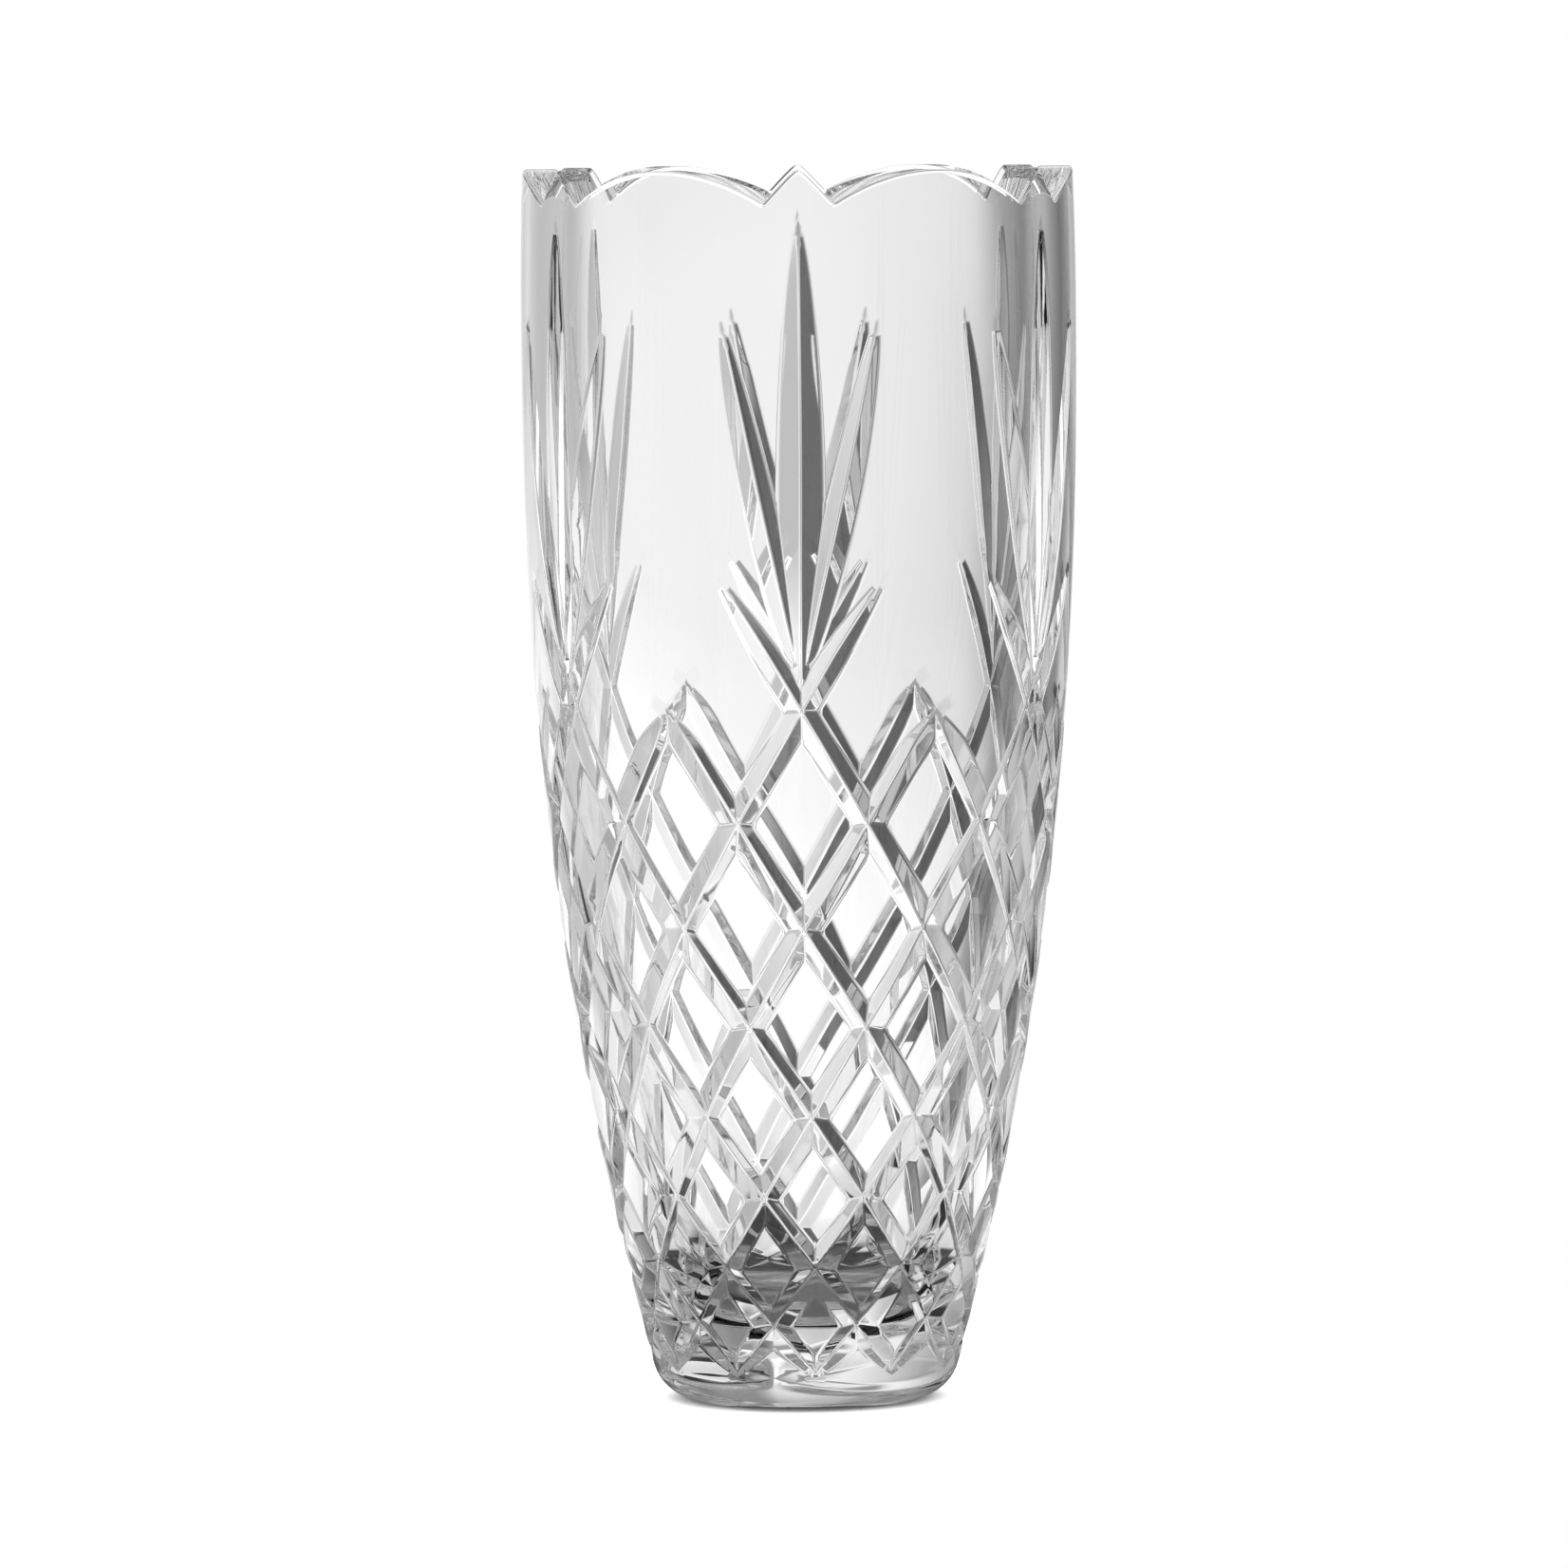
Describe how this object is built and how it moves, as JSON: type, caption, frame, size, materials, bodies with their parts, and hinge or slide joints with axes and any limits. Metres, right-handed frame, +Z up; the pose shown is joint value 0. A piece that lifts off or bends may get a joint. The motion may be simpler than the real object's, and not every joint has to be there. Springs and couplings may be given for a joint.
{
  "type": "cut crystal vase",
  "caption": "Tall barrel-shaped clear crystal vase narrowing to a small flat foot, with a scalloped rim, fans of tapering leaf cuts and a band of crossing diamond cuts.",
  "frame": {"origin": "centre of the foot ring, on the plane that the vase stands on", "axes": "+Z up along the vase's axis; one fan of leaf cuts and one rim tooth face -Y, the front"},
  "size_m": [0.1142, 0.1142, 0.254],
  "materials": {
    "clear_crystal": "polished clear lead crystal"
  },
  "bodies": {
    "root": {"crystal_body": "clear_crystal"}
  },
  "joints": []
}
